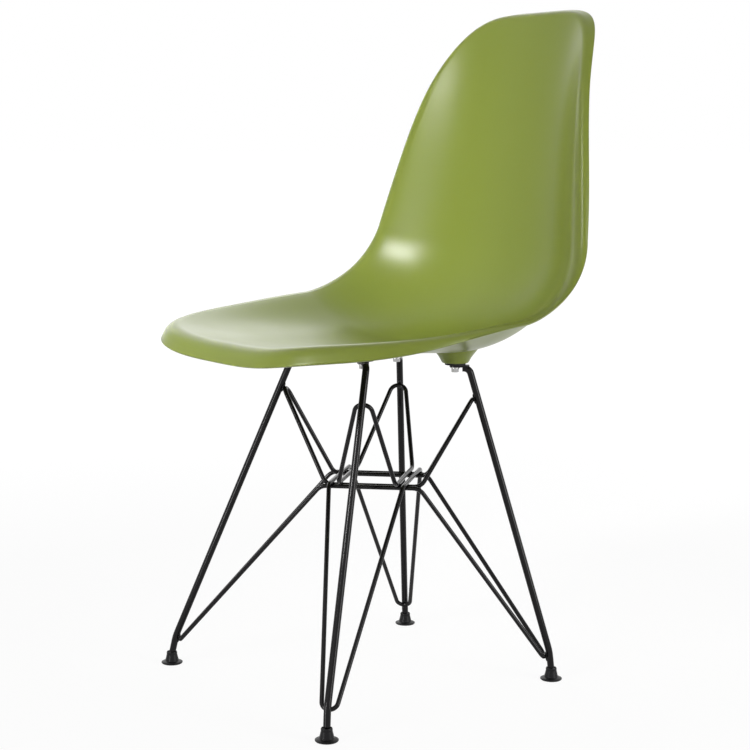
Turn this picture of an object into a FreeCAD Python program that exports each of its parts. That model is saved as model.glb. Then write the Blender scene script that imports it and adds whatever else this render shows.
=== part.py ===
import FreeCAD, Part
import math
import os
import Sketcher

# A dining chair with a one-piece moulded shell on a welded wire base.
# X runs to the sitter's left, the front faces -Y, Z is up and the floor is Z = 0.
# The origin is the middle of the chair's bounding box on the floor. Millimetres.

doc = FreeCAD.newDocument("shell_chair")

# Driving sizes. Every alias is a cell of the sheet, and each size is written once.
SIZES = [
    # shell: the spine is the sheet's middle line seen from the side
    ("shell_wall", 4.2),
    ("seat_height", 435.6),
    ("seat_front", -224.0),
    ("front_rise_run", 61.8),
    ("front_rise_angle", 8.8),
    ("seat_run", 192.0),
    ("seat_fall_angle", 3.93),
    ("bend_radius", 147.2),
    ("back_run", 170.2),
    ("back_angle", 82.37),
    ("top_run", 110.6),
    ("top_angle", 74.2),
    # shell: half widths, dish depths and lip lengths at six even stations of the spine
    ("half_front", 206.2),
    ("half_seat", 227.5),
    ("half_hip", 223.0),
    ("half_waist", 202.4),
    ("half_back", 168.0),
    ("half_top", 159.0),
    ("dish_front", 26.7),
    ("dish_seat", 33.2),
    ("dish_hip", 55.7),
    ("dish_waist", 52.1),
    ("dish_back", 41.1),
    ("dish_top", 22.8),
    ("lip_front", 28.5),
    ("lip_seat", 14.2),
    ("lip_hip", 6.2),
    ("lip_waist", 13.1),
    ("lip_back", 16.3),
    ("lip_top", 11.9),
    ("dish_power", 3.33),
    ("dish_rim_power", 10.1),
    ("front_corner_power", 5.73),
    ("top_corner_power", 4.95),
    # shell: the rim rolls over by an arc and a straight lip
    ("side_roll_radius", 8.6),
    ("side_roll_angle", 73.3),
    ("front_roll_radius", 19.3),
    ("front_roll_angle", 81.0),
    ("front_edge_lip", 35.7),
    ("top_roll_radius", 9.1),
    ("top_roll_angle", 64.0),
    ("top_edge_lip", 20.4),
    ("roll_blend", 0.37),
    # shell: four bosses that the base bolts to
    ("bolt_half_span", 60.8),
    ("front_bolt_y", -76.9),
    ("rear_bolt_y", 62.4),
    ("front_face_drop", 23.3),
    ("rear_face_drop", 37.8),
    ("boss_diameter", 33.0),
    ("boss_draft_angle", 22.0),
    ("boss_flare_angle", 38.0),
    ("boss_root_radius", 40.0),
    ("insert_diameter", 10.0),
    ("insert_length", 9.0),
    ("insert_groove", 0.6),
    # fasteners: the bolt is an M6 with a small hexagon
    ("thread_diameter", 6.0),
    ("thread_clearance", 0.05),
    ("bolt_flats", 8.0),
    ("bolt_head", 4.0),
    ("bolt_length", 16.0),
    ("bolt_chamfer", 0.6),
    ("bolt_chamfer_angle", 30.0),
    ("hole_clearance", 0.3),
    ("washer_diameter", 12.0),
    ("washer_thickness", 1.0),
    ("spring_washer_diameter", 9.6),
    ("spring_washer_thickness", 1.3),
    ("spring_washer_slit", 1.2),
    ("pad_diameter", 25.6),
    ("pad_thickness", 2.6),
    # legs
    ("rod_diameter", 8.6),
    ("tab_thickness", 3.0),
    ("tab_diameter", 14.0),
    ("rod_end_gap", 9.0),
    ("top_bend_radius", 9.0),
    ("low_bend_radius", 70.0),
    ("low_bend_height", 36.5),
    ("front_eye_run_x", 16.9),
    ("front_eye_run_y", -7.1),
    ("rear_eye_run_x", 11.4),
    ("rear_eye_run_y", 13.1),
    ("front_leg_bend_x", 174.3),
    ("front_leg_bend_y", -205.0),
    ("rear_leg_bend_x", 151.8),
    ("rear_leg_bend_y", 146.8),
    ("front_foot_x", 178.5),
    ("front_foot_y", -208.8),
    ("rear_foot_x", 153.6),
    ("rear_foot_y", 149.2),
    # glides: a ball on the leg's end sits in a socket, so the glide levels itself
    ("ball_radius", 4.0),
    ("ball_height", 11.5),
    ("neck_radius", 2.4),
    ("rod_end_over_ball", 0.6),
    ("rod_end_taper", 1.7),
    ("socket_clearance", 0.1),
    ("socket_grip", 0.5),
    ("glide_diameter", 27.2),
    ("glide_edge", 0.8),
    ("glide_rim", 2.6),
    ("bell_foot_diameter", 17.6),
    ("bell_foot_height", 3.5),
    ("bell_neck_height", 12.0),
    ("bell_clearance", 1.6),
    ("bell_wall", 0.9),
    ("bell_top_wall", 0.45),
    ("bell_recess", 1.1),
    # braces: closed wire loops, each across one diagonal pair of legs
    ("wire_diameter", 5.5),
    ("hub_y", -13.1),
    ("hub_height", 248.8),
    ("upper_front_weld", 361.3),
    ("upper_rear_weld", 352.3),
    ("lower_front_weld", 32.8),
    ("lower_rear_weld", 29.5),
    ("upper_half_width", 35.6),
    ("lower_half_width", 46.0),
    ("upper_front_reach", 58.0),
    ("upper_rear_reach", 60.0),
    ("lower_front_reach", 63.0),
    ("lower_rear_reach", 59.0),
    ("upper_apex_radius", 10.8),
    ("lower_apex_radius", 9.6),
    ("upper_hub_radius", 14.0),
    ("lower_hub_radius", 16.0),
]

sheet = doc.addObject("Spreadsheet::Sheet", "sizes")
for row, (alias, value) in enumerate(SIZES, start=1):
    sheet.set("A%d" % row, alias)
    sheet.set("B%d" % row, str(value))
    sheet.setAlias("B%d" % row, alias)
doc.recompute()


def size(alias):
    return float(getattr(sheet, alias))


def vec(x, y, z):
    return FreeCAD.Vector(x, y, z)


UP = vec(0, 0, 1)
SIDES = {"left": 1, "right": -1}
ENDS = ("front", "rear")
CORNERS = [(end, side) for end in ENDS for side in SIDES]


def set_feature(label, shape):
    """A named piece whose shape is worked out by the code below."""
    feature = doc.addObject("Part::Feature", label)
    feature.Label = label
    feature.Shape = shape
    feature.Placement = FreeCAD.Placement()
    return feature


# Seat shell: the sheet is a spine in the YZ plane, widened and dished across it.

WALL = size("shell_wall")
STATIONS = ("front", "seat", "hip", "waist", "back", "top")


def spine_chain():
    """The spine's tangent runs, each a length with the slope at its two ends."""
    rise = -math.radians(size("front_rise_angle"))
    fall = -math.radians(size("seat_fall_angle"))
    back = math.radians(size("back_angle"))
    top = math.radians(size("top_angle"))
    bend = size("bend_radius") * (back - fall)
    return [
        (size("front_rise_run"), rise, fall),
        (size("seat_run"), fall, fall),
        (bend, fall, back),
        (size("back_run"), back, back),
        (size("top_run"), back, top),
    ]


CHAIN = spine_chain()
SPINE_LENGTH = sum(run for run, _, _ in CHAIN)


def spine_at(along):
    """Y, Z and slope of the spine at a length from the front crest."""
    y = size("seat_front")
    z = size("seat_height")
    for index, (run, first, last) in enumerate(CHAIN):
        step = along if index == len(CHAIN) - 1 else min(along, run)
        turn = (last - first) / run
        slope = first + turn * step
        if abs(turn) < 1e-9:
            y += step * math.cos(first)
            z += step * math.sin(first)
        else:
            y += (math.sin(slope) - math.sin(first)) / turn
            z += (math.cos(first) - math.cos(slope)) / turn
        along -= step
        if along <= 0:
            break
    return y, z, slope


def curve_through(points, marks):
    curve = Part.BSplineCurve()
    curve.interpolate(Points=points, Parameters=marks)
    return curve


def station_curve(prefix):
    """A smooth curve through one size at the six stations."""
    points = [vec(i, size(prefix + "_" + name), 0) for i, name in enumerate(STATIONS)]
    return curve_through(points, [float(i) for i in range(len(STATIONS))])


HALF = station_curve("half")
DISH = station_curve("dish")
LIP = station_curve("lip")


def at_station(curve, along):
    place = (len(STATIONS) - 1) * along / SPINE_LENGTH
    return curve.value(min(max(place, 0.0), len(STATIONS) - 1.0)).y


def plan(u, w):
    """Length along the spine and share of the half width, for u and w from -1 to 1.

    The square's corners round off, and its edges meet there without a kink.
    """
    power = size("front_corner_power") if u < 0 else size("top_corner_power")
    cut = 1 / (power + 1)
    along = SPINE_LENGTH / 2 * (1 + u * (1 - cut * abs(w) ** power))
    across = w * (1 - cut * abs(u) ** power)
    return along, across


def sheet_point(along, across):
    """A point of the sheet's upper face, inside the crest."""
    y, z, slope = spine_at(along)
    inner = size("dish_power")
    rim = size("dish_rim_power")
    share = abs(across)
    rise = at_station(DISH, along) * (rim * share ** inner - inner * share ** rim) / (rim - inner)
    x = across * at_station(HALF, along)
    return vec(x, y - rise * math.sin(slope), z + rise * math.cos(slope))


NUDGE = 0.001


def sheet_normal(along, across):
    step = NUDGE * SPINE_LENGTH
    inner = min(max(along, step), SPINE_LENGTH - step)
    run = sheet_point(inner + step, across) - sheet_point(inner - step, across)
    width = sheet_point(inner, across + NUDGE) - sheet_point(inner, across - NUDGE)
    return width.cross(run).normalize()


def crest_frame(u, w):
    """Outward and upward directions on the crest, the outline where the rim starts."""
    inner_u = max(min(u, 1 - NUDGE), NUDGE - 1)
    inner_w = max(min(w, 1 - NUDGE), NUDGE - 1)
    if abs(w) == 1:
        edge = sheet_point(*plan(inner_u + NUDGE, w)) - sheet_point(*plan(inner_u - NUDGE, w))
    else:
        edge = sheet_point(*plan(u, inner_w + NUDGE)) - sheet_point(*plan(u, inner_w - NUDGE))
    normal = sheet_normal(*plan(u, w))
    out = edge.cross(normal).normalize()
    from_middle = sheet_point(*plan(u, w)) - sheet_point(*plan(u / 2, w / 2))
    return out * math.copysign(1, out.dot(from_middle)), normal


RIM_STEPS = 6


def end_share_at(u, w):
    """How far the rim has changed from the side's roll to the end's, from 0 to 1.

    The change takes the last part of the side, the corner and the first part of the end.
    """
    blend = size("roll_blend")
    step = max(abs(u) - 1 + blend, 0) / blend
    if abs(u) == 1:
        step += min(1 - abs(w), blend) / blend
    step /= 2
    return step * step * (3 - 2 * step)


def rim_sections(u, w):
    """Points of the rim's upper face, lip edge and lower face at one place of the crest."""
    out, normal = crest_frame(u, w)
    start = sheet_point(*plan(u, w))
    end_share = end_share_at(u, w)
    end = "front" if u < 0 else "top"
    radius = (1 - end_share) * size("side_roll_radius") + end_share * size(end + "_roll_radius")
    angle = (1 - end_share) * size("side_roll_angle") + end_share * size(end + "_roll_angle")
    roll = math.radians(angle)
    lip = (1 - end_share) * at_station(LIP, plan(u, w)[0]) + end_share * size(end + "_edge_lip")
    upper = []
    lower = []
    for step in range(RIM_STEPS + 1):
        length = lip * step / RIM_STEPS
        turn = min(length / radius, roll)
        flat = max(length - radius * roll, 0)
        ahead = out * math.cos(turn) - normal * math.sin(turn)
        face = out * math.sin(turn) + normal * math.cos(turn)
        upper.append(start - normal * radius + face * radius + ahead * flat)
        lower.append(start - normal * radius + face * (radius - WALL) + ahead * flat)
    return upper, [upper[-1], lower[-1]], lower


def face_through(rows, across, along):
    """One smooth face through a grid of points, with the given parameters."""
    row_curves = [curve_through(row, along) for row in rows]
    columns = zip(*[curve.getPoles() for curve in row_curves])
    column_curves = [curve_through(list(column), across) for column in columns]
    net = [list(line) for line in zip(*[curve.getPoles() for curve in column_curves])]
    row = row_curves[0]
    column = column_curves[0]
    surface = Part.BSplineSurface()
    surface.buildFromPolesMultsKnots(
        net, column.getMultiplicities(), row.getMultiplicities(), column.getKnots(), row.getKnots(),
        False, False, column.Degree, row.Degree)
    return surface.toShape()


U_MARKS = [-1, -0.94, -0.85, -0.72, -0.56, -0.38, -0.2, -0.08, 0.04, 0.16, 0.28, 0.4, 0.54,
           0.7, 0.84, 0.94, 1]
W_MARKS = [-1, -0.95, -0.87, -0.75, -0.55, -0.3, 0, 0.3, 0.55, 0.75, 0.87, 0.95, 1]


def sheet_grid(depth, u_marks, w_marks):
    places = [[plan(u, w) for w in w_marks] for u in u_marks]
    return [[sheet_point(*place) - sheet_normal(*place) * depth for place in row] for row in places]


def shell_sheet():
    """The closed wall: two sheets, and a rolled rim along each of the four edges."""
    faces = [face_through(sheet_grid(depth, U_MARKS, W_MARKS), U_MARKS, W_MARKS)
             for depth in (0, WALL)]
    edges = [([(u, w) for u in U_MARKS], U_MARKS) for w in (-1, 1)]
    edges += [([(u, w) for w in W_MARKS], W_MARKS) for u in (-1, 1)]
    for places, marks in edges:
        sections = [rim_sections(u, w) for u, w in places]
        for part in range(3):
            rows = [section[part] for section in sections]
            across = [float(i) for i in range(len(rows[0]))]
            faces.append(face_through(rows, marks, across))
    shell = Part.makeShell(faces)
    shell.sewShape()
    solid = Part.makeSolid(shell)
    if solid.Volume < 0:
        solid.reverse()
    return solid


def face_height(end):
    """Height of the boss face that the base bolts to."""
    return size("seat_height") - size(end + "_face_drop")


def bolt_point(end, side):
    return vec(SIDES[side] * size("bolt_half_span"), size(end + "_bolt_y"), face_height(end))


def above_sheet():
    """The space over the seat sheet's middle, where no boss may stand."""
    u_marks = [-0.8, -0.65, -0.5, -0.35, -0.2, -0.1, 0, 0.1, 0.2]
    w_marks = [-0.8, -0.6, -0.4, -0.2, 0, 0.2, 0.4, 0.6, 0.8]
    middle = face_through(sheet_grid(WALL / 2, u_marks, w_marks), u_marks, w_marks)
    return middle.extrude(UP * size("bend_radius"))


def boss(end, side):
    """A round boss that curves outward, from the bolting face up into the sheet."""
    draft = math.radians(size("boss_draft_angle"))
    flare = math.radians(size("boss_flare_angle"))
    root = size("boss_root_radius")
    face = size("boss_diameter") / 2
    top = size("rear_face_drop") + size("shell_wall")

    def root_point(angle):
        return vec(face + root * (math.cos(draft) - math.cos(angle)), 0,
                   root * (math.sin(angle) - math.sin(draft)))

    start = root_point(draft)
    stop = root_point(flare)
    rim = vec(stop.x + (top - stop.z) * math.tan(flare), 0, top)
    outline = Part.Wire([
        Part.LineSegment(vec(0, 0, 0), start).toShape(),
        Part.Arc(start, root_point((draft + flare) / 2), stop).toShape(),
        Part.LineSegment(stop, rim).toShape(),
        Part.LineSegment(rim, vec(0, 0, top)).toShape(),
        Part.LineSegment(vec(0, 0, top), vec(0, 0, 0)).toShape(),
    ])
    turned_boss = Part.Face(outline).revolve(vec(0, 0, 0), UP, 360)
    return turned_boss.translate(bolt_point(end, side))


def seat_shell():
    lid = above_sheet()
    bosses = [boss(end, side).cut(lid) for end, side in CORNERS]
    shape = shell_sheet().fuse(bosses)
    bores = [Part.makeCylinder(size("insert_diameter") / 2, size("insert_length"),
                               bolt_point(end, side), UP) for end, side in CORNERS]
    return shape.cut(bores).removeSplitter()


# Legs: a round rod with a flat eye on top and a ball below.

ROD = size("rod_diameter") / 2
WIRE = size("wire_diameter") / 2


def rounded_path(points, radii, closed):
    """Straight runs joined by tangent arcs, one radius for each corner point."""
    count = len(points)
    corners = range(count) if closed else range(1, count - 1)
    pieces = {}
    for index in corners:
        corner = points[index]
        back = (points[index - 1] - corner).normalize()
        ahead = (points[(index + 1) % count] - corner).normalize()
        half = math.acos(max(-1, min(1, back.dot(ahead)))) / 2
        reach = radii[index] / math.tan(half)
        centre = corner + (back + ahead).normalize() * (radii[index] / math.sin(half))
        middle = centre + (corner - centre).normalize() * radii[index]
        pieces[index] = (corner + back * reach, middle, corner + ahead * reach)
    edges = []
    place = pieces[0][2] if closed else points[0]
    for index in list(corners)[1:] + [0] if closed else corners:
        start, middle, stop = pieces[index]
        edges.append(Part.LineSegment(place, start).toShape())
        edges.append(Part.Arc(start, middle, stop).toShape())
        place = stop
    if not closed:
        edges.append(Part.LineSegment(place, points[-1]).toShape())
    return Part.Wire(edges)


def tube(path, radius):
    """A round bar along a path of tangent runs."""
    first = path.OrderedEdges[0]
    start = first.valueAt(first.FirstParameter)
    ahead = first.tangentAt(first.FirstParameter)
    ring = Part.Wire([Part.Circle(start, ahead, radius).toShape()])
    bar = path.makePipe(Part.Face(ring))
    if path.isClosed():
        skin = Part.makeShell(bar.Faces)
        skin.sewShape()
        bar = Part.makeSolid(skin)
    return bar


def leg_points(end, side):
    """Ball centre, lower bend, top bend and eye centre of one leg."""
    sign = SIDES[side]
    eye = bolt_point(end, side)
    level = eye.z - size("pad_thickness") - ROD
    ball = vec(sign * size(end + "_foot_x"), size(end + "_foot_y"), size("ball_height"))
    low = vec(sign * size(end + "_leg_bend_x"), size(end + "_leg_bend_y"), size("low_bend_height"))
    top = vec(eye.x + sign * size(end + "_eye_run_x"), eye.y + size(end + "_eye_run_y"), level)
    return ball, low, top, vec(eye.x, eye.y, level)


def eye_tab(centre, inward):
    """The rod's end, stamped flat: a tapered plate with a round eye."""
    thickness = size("tab_thickness")
    eye_radius = size("tab_diameter") / 2
    outward = inward * -1
    across = UP.cross(outward)
    run = size("rod_end_gap") + ROD
    lean = math.acos((eye_radius - ROD) / run)
    base = centre + UP * (ROD - thickness)
    tangent = outward * math.cos(lean) + across * math.sin(lean)
    mirror = outward * math.cos(lean) - across * math.sin(lean)
    far = base + outward * run
    near_a = base + tangent * eye_radius
    near_b = base + mirror * eye_radius
    far_a = far + tangent * ROD
    far_b = far + mirror * ROD
    outline = Part.Wire([
        Part.LineSegment(near_a, far_a).toShape(),
        Part.Arc(far_a, far + outward * ROD, far_b).toShape(),
        Part.LineSegment(far_b, near_b).toShape(),
        Part.Arc(near_b, base + inward * eye_radius, near_a).toShape(),
    ])
    plate = Part.Face(outline).extrude(UP * thickness)
    hole = Part.makeCylinder(size("thread_diameter") / 2 + size("hole_clearance"), thickness, base, UP)
    return plate.cut(hole)


def rod_end_rise():
    """How far the rod's lower end stands from the ball's centre."""
    return size("ball_radius") + size("rod_end_over_ball")


def leg_path(end, side):
    """The rod's centre line, from above the ball to beside the eye."""
    ball, low, top, eye = leg_points(end, side)
    foot = ball + (low - ball).normalize() * rod_end_rise()
    stop = eye - (eye - top).normalize() * size("rod_end_gap")
    radii = [0, size("low_bend_radius"), size("top_bend_radius"), 0]
    return rounded_path([foot, low, top, stop], radii, False)


def leg(end, side):
    ball, low, top, eye = leg_points(end, side)
    inward = (eye - top).normalize()
    rise = (low - ball).normalize()
    foot = ball + rise * rod_end_rise()
    rod = tube(leg_path(end, side), ROD)
    taper = size("rod_end_taper")
    end_cone = Part.makeCone(size("neck_radius"), ROD, taper, foot - rise * taper, rise)
    neck = Part.makeCylinder(size("neck_radius"), rod_end_rise() - taper, ball, rise)
    knob = Part.makeSphere(size("ball_radius"), ball)
    return rod.fuse([end_cone, neck, knob, eye_tab(eye, inward)]).removeSplitter()


# Braces: the upper loops tie the leg tops to the hub, the lower loops tie the feet to it.

def leg_at(end, side, height):
    """The point of a leg's centre line at a height."""
    reach = 2 * size("front_foot_x")
    level = Part.makePlane(2 * reach, 2 * reach, vec(-reach, -reach, height))
    return level.distToShape(leg_path(end, side))[1][0][1]


def leg_run(end, side, height):
    """The leg's centre at a height, and its direction there."""
    point = leg_at(end, side, height)
    return point, (leg_at(end, side, height + 1) - point).normalize()


def apex_corner(weld, hub_middle, half_width, radius):
    """The sharp corner whose arc passes through the weld."""
    reach = (weld - hub_middle).Length
    extra = 0.0
    for _ in range(20):
        half = math.atan2(half_width, reach + extra)
        extra = radius / math.sin(half) - radius
    return weld + (weld - hub_middle).normalize() * extra


def beside(point, run, lateral, inward):
    """The centre of a wire that touches the leg on its inner side, level with the point."""
    square = run.cross(lateral).normalize()
    return point + inward * ((ROD + WIRE) / abs(square.dot(inward)))


def brace(level, front_side, layer):
    """One closed loop across a diagonal pair of legs, with two parallel rods at the hub."""
    rear_side = "right" if front_side == "left" else "left"
    front, front_run = leg_run("front", front_side, size(level + "_front_weld"))
    rear, rear_run = leg_run("rear", rear_side, size(level + "_rear_weld"))
    diagonal = vec(rear.x - front.x, rear.y - front.y, 0).normalize()
    lateral = vec(diagonal.y, -diagonal.x, 0)
    front_weld = beside(front, front_run, lateral, diagonal)
    rear_weld = beside(rear, rear_run, lateral, diagonal * -1)
    hub = vec(0, size("hub_y"), size("hub_height") + layer * 2 * WIRE)
    half = size(level + "_half_width")
    front_middle = hub - diagonal * size(level + "_front_reach")
    rear_middle = hub + diagonal * size(level + "_rear_reach")
    apex = size(level + "_apex_radius")
    bend = size(level + "_hub_radius")
    points = [
        apex_corner(front_weld, front_middle, half, apex),
        front_middle + lateral * half,
        rear_middle + lateral * half,
        apex_corner(rear_weld, rear_middle, half, apex),
        rear_middle - lateral * half,
        front_middle - lateral * half,
    ]
    return tube(rounded_path(points, [apex, bend, bend, apex, bend, bend], True), WIRE)


# Fasteners and glides: bodies and primitives bound to the sheet.

def origin_plane(body, role):
    return [item for item in body.Origin.OriginFeatures if item.Role == role][0]


def sketch_on(body, role, name):
    sketch = body.newObject("Sketcher::SketchObject", name)
    sketch.AttachmentSupport = (origin_plane(body, role), [""])
    sketch.MapMode = "FlatFace"
    return sketch


def add_circle(sketch, diameter):
    """A circle about the sketch's origin, its diameter an expression of the sheet."""
    index = sketch.addGeometry(Part.Circle(vec(0, 0, 0), UP, 5), False)
    sketch.addConstraint(Sketcher.Constraint("Coincident", index, 3, -1, 1))
    number = sketch.addConstraint(Sketcher.Constraint("Diameter", index, 10))
    sketch.setExpression("Constraints[%d]" % number, diameter)


def add_outline(sketch, corners):
    """A closed outline of straight lines, each corner a pair of expressions."""
    count = len(corners)
    seeds = [vec(5 + 4 * math.cos(2 * math.pi * i / count), 9 + 4 * math.sin(2 * math.pi * i / count), 0)
             for i in range(count)]
    for i in range(count):
        sketch.addGeometry(Part.LineSegment(seeds[i], seeds[(i + 1) % count]), False)
    for i in range(count):
        sketch.addConstraint(Sketcher.Constraint("Coincident", i, 2, (i + 1) % count, 1))
    for i, pair in enumerate(corners):
        for kind, axis, text in (("DistanceX", -2, pair[0]), ("DistanceY", -1, pair[1])):
            if text == "0":
                sketch.addConstraint(Sketcher.Constraint("PointOnObject", i, 1, axis))
            else:
                seed = seeds[i].x if kind == "DistanceX" else seeds[i].y
                number = sketch.addConstraint(Sketcher.Constraint(kind, -1, 1, i, 1, seed))
                sketch.setExpression("Constraints[%d]" % number, text)


def turned(body, name, kind, corners):
    """A revolved feature of a body, from an outline in its XZ plane."""
    sketch = sketch_on(body, "XZ_Plane", name + "_outline")
    add_outline(sketch, corners)
    feature = body.newObject("PartDesign::" + kind, name)
    feature.Profile = sketch
    feature.ReferenceAxis = (sketch, ["V_Axis"])
    feature.Angle = 360
    return feature


def padded(body, name, diameters, length):
    """A pad of a disc or ring, bound to the sheet."""
    sketch = sketch_on(body, "XY_Plane", name + "_outline")
    for diameter in diameters:
        add_circle(sketch, diameter)
    pad = body.newObject("PartDesign::Pad", name)
    pad.Profile = sketch
    pad.setExpression("Length", length)
    return pad


def new_body(label, base):
    body = doc.addObject("PartDesign::Body", label)
    body.Label = label
    body.Placement = FreeCAD.Placement(base, FreeCAD.Rotation())
    return body


def spacer_pad(end, side):
    body = new_body("spacer_pad_%s_%s" % (end, side), bolt_point(end, side) - UP * size("pad_thickness"))
    padded(body, "disc", ["sizes.pad_diameter", "sizes.thread_diameter + 2 * sizes.hole_clearance"],
           "sizes.pad_thickness")
    return body


def flat_washer(end, side):
    drop = size("pad_thickness") + size("tab_thickness") + size("washer_thickness")
    body = new_body("flat_washer_%s_%s" % (end, side), bolt_point(end, side) - UP * drop)
    padded(body, "ring", ["sizes.washer_diameter", "sizes.thread_diameter + 2 * sizes.hole_clearance"],
           "sizes.washer_thickness")
    return body


def threaded_insert(end, side):
    """A moulded-in brass bush: a bored cylinder with two grooves that the plastic grips."""
    body = new_body("threaded_insert_%s_%s" % (end, side), bolt_point(end, side))
    padded(body, "bush", ["sizes.insert_diameter", "sizes.thread_diameter + 2 * sizes.thread_clearance"],
           "sizes.insert_length")
    outer = "sizes.insert_diameter / 2"
    inner = "sizes.insert_diameter / 2 - sizes.insert_groove"
    low = "sizes.insert_length / 4"
    high = "sizes.insert_length / 4 + sizes.insert_groove * 2"
    groove = turned(body, "grip_groove", "Groove", [(inner, low), (outer, low), (outer, high), (inner, high)])
    doc.recompute()
    pattern = body.newObject("PartDesign::LinearPattern", "grip_grooves")
    pattern.Originals = [groove]
    pattern.Direction = (origin_plane(body, "XY_Plane"), [""])
    pattern.setExpression("Length", "sizes.insert_length / 2 - sizes.insert_groove * 2")
    pattern.Occurrences = 2
    body.Tip = pattern
    return body


def primitive(kind, name, bound, base):
    """A Part primitive with its sizes bound to the sheet."""
    item = doc.addObject("Part::" + kind, name)
    for field, text in bound.items():
        item.setExpression(field, text)
    item.Placement = FreeCAD.Placement(base, FreeCAD.Rotation())
    return item


def combine(kind, label, base, tool):
    item = doc.addObject("Part::" + kind, label)
    item.Label = label
    item.Base = base
    item.Tool = tool
    return item


def spring_washer(end, side):
    """A split ring, pressed flat by the bolt."""
    name = "spring_washer_%s_%s" % (end, side)
    drop = size("pad_thickness") + size("tab_thickness") + size("washer_thickness")
    base = bolt_point(end, side) - UP * (drop + size("spring_washer_thickness"))
    disc = primitive("Cylinder", name + "_disc", {
        "Radius": "sizes.spring_washer_diameter / 2", "Height": "sizes.spring_washer_thickness"}, base)
    bore = primitive("Cylinder", name + "_bore", {
        "Radius": "sizes.thread_diameter / 2 + sizes.hole_clearance",
        "Height": "sizes.spring_washer_thickness"}, base)
    slit = primitive("Box", name + "_slit", {
        "Length": "sizes.spring_washer_diameter", "Width": "sizes.spring_washer_slit",
        "Height": "sizes.spring_washer_thickness"}, base)
    ring = combine("Cut", name + "_ring", disc, bore)
    return combine("Cut", name, ring, slit)


def bolt(end, side):
    """A hexagon head with its corners turned off, and a plain shank."""
    name = "bolt_%s_%s" % (end, side)
    stack = ("pad_thickness", "tab_thickness", "washer_thickness", "spring_washer_thickness")
    under_head = bolt_point(end, side) - UP * sum(size(alias) for alias in stack)
    bottom = under_head - UP * size("bolt_head")
    corner = "sizes.bolt_flats / 2 / cos(30 deg)"
    prism = primitive("Prism", name + "_hexagon", {
        "Circumradius": corner + " * 1 mm", "Height": "sizes.bolt_head"}, bottom)
    prism.Polygon = 6
    cone = primitive("Cone", name + "_turning", {
        "Radius1": corner + " - sizes.bolt_chamfer",
        "Radius2": corner + " - sizes.bolt_chamfer + sizes.bolt_head / tan(sizes.bolt_chamfer_angle * 1 deg)",
        "Height": "sizes.bolt_head"}, bottom)
    head = combine("Common", name + "_head", prism, cone)
    shank = primitive("Cylinder", name + "_shank", {
        "Radius": "sizes.thread_diameter / 2", "Height": "sizes.bolt_length"}, under_head)
    return combine("Fuse", name, head, shank)


def glide(end, side):
    """A flared foot with a bell round its socket, turned in one piece."""
    ball, _, _, _ = leg_points(end, side)
    body = new_body("glide_%s_%s" % (end, side), vec(ball.x, ball.y, 0))
    disc = "sizes.glide_diameter / 2"
    mouth = "sizes.rod_diameter / 2 + sizes.bell_clearance"
    height = "sizes.ball_height + sizes.ball_radius"
    grip = "(sizes.ball_radius - sizes.socket_grip)"
    throat = "sizes.ball_height + sqrt((sizes.ball_radius + sizes.socket_clearance) ^ 2 - " + grip + " ^ 2)"
    turned(body, "bell", "Revolution", [
        ("0", "0"),
        (disc + " - sizes.glide_edge", "0"),
        (disc, "sizes.glide_edge"),
        (disc, "sizes.glide_rim - sizes.glide_edge"),
        (disc + " - 2 * sizes.glide_edge", "sizes.glide_rim"),
        ("sizes.bell_foot_diameter / 2", "sizes.bell_foot_height"),
        (mouth + " + sizes.bell_wall", "sizes.bell_neck_height"),
        (mouth + " + sizes.bell_wall", height + " - sizes.bell_recess"),
        (mouth + " + sizes.bell_top_wall", height),
        (mouth, height),
        (mouth, height + " - sizes.bell_recess"),
        (grip, throat),
        ("0", throat),
    ])
    socket = body.newObject("PartDesign::SubtractiveSphere", "socket")
    socket.setExpression("Radius", "sizes.ball_radius + sizes.socket_clearance")
    socket.AttachmentSupport = (origin_plane(body, "XY_Plane"), [""])
    socket.MapMode = "FlatFace"
    socket.setExpression(".AttachmentOffset.Base.z", "sizes.ball_height")
    return body


# The assembly

nodes = [set_feature("seat_shell", seat_shell())]
for end, side in CORNERS:
    nodes.append(set_feature("leg_%s_%s" % (end, side), leg(end, side)))
for level in ("upper", "lower"):
    nodes.append(set_feature(level + "_brace_over", brace(level, "left", 1)))
    nodes.append(set_feature(level + "_brace_under", brace(level, "right", 0)))
for make in (threaded_insert, spacer_pad, flat_washer, spring_washer, bolt, glide):
    for end, side in CORNERS:
        nodes.append(make(end, side))
doc.recompute()

for item in doc.Objects:
    if "Invalid" in item.State or "Error" in item.State:
        raise RuntimeError("%s failed: %s" % (item.Label, item.State))
for node in nodes:
    if node.Shape.isNull() or not node.Shape.isValid():
        raise RuntimeError("%s has a bad shape" % node.Label)

os.makedirs("parts", exist_ok=True)
for node in nodes:
    node.Shape.exportStep("parts/%s.step" % node.Label)
    box = node.Shape.BoundBox
    print("%-28s solids %d volume %10.1f  x %7.1f %7.1f  y %7.1f %7.1f  z %6.1f %6.1f" % (
        node.Label, len(node.Shape.Solids), node.Shape.Volume,
        box.XMin, box.XMax, box.YMin, box.YMax, box.ZMin, box.ZMax))
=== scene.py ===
# %% [markdown]
# # A moulded shell chair on a black wire base
#
# The chair is one plastic shell bolted to four bent rods, which two pairs of
# wire loops tie together. The frame brings in the solids that were drawn for
# the workshop. Their sizes are right, so the rods, wires, bolts and feet stay
# and only get a finish. The shell is built again here, because its rolled rim
# and its soft sheen are what the eye reads first.

# %% Load the frame
import math
import bmesh
import bpy
import numpy as np
from mathutils import Matrix, Quaternion, Vector
from mathutils.bvhtree import BVHTree


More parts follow.
